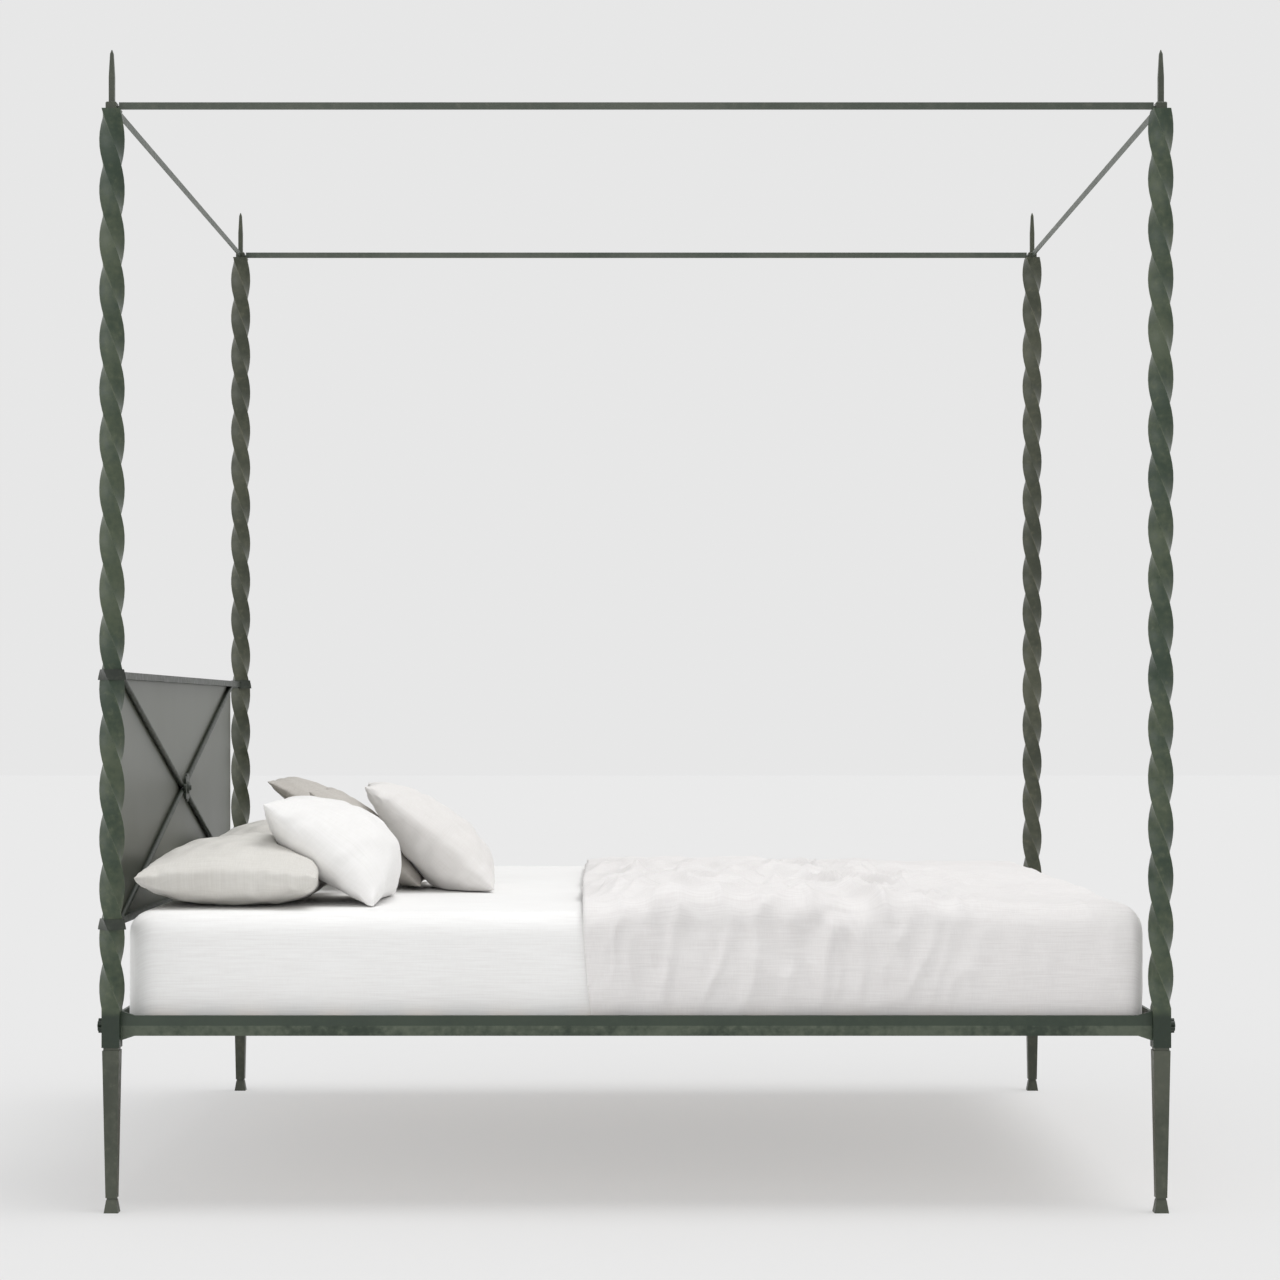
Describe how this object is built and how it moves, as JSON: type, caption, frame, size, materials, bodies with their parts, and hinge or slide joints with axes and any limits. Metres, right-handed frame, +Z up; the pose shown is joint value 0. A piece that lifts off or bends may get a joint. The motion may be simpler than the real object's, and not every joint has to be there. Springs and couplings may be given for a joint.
{
  "type": "four poster canopy bed",
  "caption": "Iron canopy bed: twisted square posts on tapered legs, flat canopy bars, low panel headboard with crossed rods, mattress and bedding.",
  "frame": {"origin": "on the floor under the middle of the bed, midway between the posts", "axes": "+Z up, +X from the headboard to the foot of the bed, -Y the near side seen in the picture"},
  "size_m": [2.1174, 1.9168, 2.283],
  "materials": {
    "green_iron": "satin dark green-grey paint over iron",
    "dark_iron": "satin, nearly black green paint over iron",
    "panel_paint": "satin grey-green paint on sheet steel",
    "plain_steel": "plain zinc-grey steel",
    "slat_wood": "planed and unvarnished",
    "mattress_ticking": "woven cotton ticking",
    "sheet_cotton": "plain woven cotton",
    "coverlet_cloth": "soft washed cotton",
    "pillow_beige": "fine washed linen",
    "cushion_white": "plain woven cotton",
    "cushion_cream": "plain woven cotton",
    "cushion_grey": "fine washed linen"
  },
  "bodies": {
    "frame": {"beam_hanger_foot": "plain_steel", "beam_hanger_head": "plain_steel", "canopy_bar_far": "green_iron", "canopy_bar_foot": "green_iron", "canopy_bar_head": "green_iron", "canopy_bar_near": "green_iron", "canopy_cap_foot_far": "green_iron", "canopy_cap_foot_near": "green_iron", "canopy_cap_head_far": "green_iron", "canopy_cap_head_near": "green_iron", "centre_beam": "plain_steel", "cross_rod_falling": "dark_iron", "cross_rod_rising": "dark_iron", "end_rail_foot": "green_iron", "end_rail_head": "green_iron", "finial_foot_far": "green_iron", "finial_foot_near": "green_iron", "finial_head_far": "green_iron", "finial_head_near": "green_iron", "foot_foot_far": "green_iron", "foot_foot_near": "green_iron", "foot_head_far": "green_iron", "foot_head_near": "green_iron", "hanger_screws": "plain_steel", "head_bar_bottom": "green_iron", "head_bar_top": "green_iron", "head_collar_far_bottom": "green_iron", "head_collar_far_top": "green_iron", "head_collar_near_bottom": "green_iron", "head_collar_near_top": "green_iron", "head_panel": "panel_paint", "leg_foot_far": "green_iron", "leg_foot_near": "green_iron", "leg_head_far": "green_iron", "leg_head_near": "green_iron", "leg_studs": "plain_steel", "panel_rivets": "plain_steel", "post_foot_far": "green_iron", "post_foot_near": "green_iron", "post_head_far": "green_iron", "post_head_near": "green_iron", "rail_nuts": "green_iron", "rosette": "dark_iron", "rosette_bolt": "plain_steel", "side_rail_far": "green_iron", "side_rail_near": "green_iron", "slats": "slat_wood"},
    "mattress_body": {"mattress": "mattress_ticking", "fitted_sheet": "sheet_cotton"},
    "coverlet_body": {"coverlet": "coverlet_cloth"},
    "pillow_cream_body": {"pillow_cream": "cushion_cream"},
    "pillow_flat_far_body": {"pillow_flat_far": "pillow_beige"},
    "pillow_flat_near_body": {"pillow_flat_near": "pillow_beige"},
    "pillow_grey_far_body": {"pillow_grey_far": "cushion_grey"},
    "pillow_grey_mid_body": {"pillow_grey_mid": "cushion_grey"},
    "pillow_white_body": {"pillow_white": "cushion_white"}
  },
  "joints": [
    {"name": "mattress_lift", "type": "slide", "parent": "frame", "child": "mattress_body", "axis": [0, 0, 1], "range_m": [0, 0.25]},
    {"name": "coverlet_lift", "type": "slide", "parent": "mattress_body", "child": "coverlet_body", "axis": [0, 0, 1], "range_m": [0, 0.3]},
    {"name": "pillow_flat_near_lift", "type": "slide", "parent": "mattress_body", "child": "pillow_flat_near_body", "axis": [0, 0, 1], "range_m": [0, 0.3]},
    {"name": "pillow_flat_far_lift", "type": "slide", "parent": "mattress_body", "child": "pillow_flat_far_body", "axis": [0, 0, 1], "range_m": [0, 0.3]},
    {"name": "pillow_white_lift", "type": "slide", "parent": "pillow_flat_near_body", "child": "pillow_white_body", "axis": [0, 0, 1], "range_m": [0, 0.3]},
    {"name": "pillow_grey_mid_lift", "type": "slide", "parent": "pillow_flat_far_body", "child": "pillow_grey_mid_body", "axis": [0, 0, 1], "range_m": [0, 0.3]},
    {"name": "pillow_grey_far_lift", "type": "slide", "parent": "pillow_flat_far_body", "child": "pillow_grey_far_body", "axis": [0, 0, 1], "range_m": [0, 0.3]},
    {"name": "pillow_cream_lift", "type": "slide", "parent": "pillow_grey_mid_body", "child": "pillow_cream_body", "axis": [0, 0, 1], "range_m": [0, 0.3]}
  ]
}
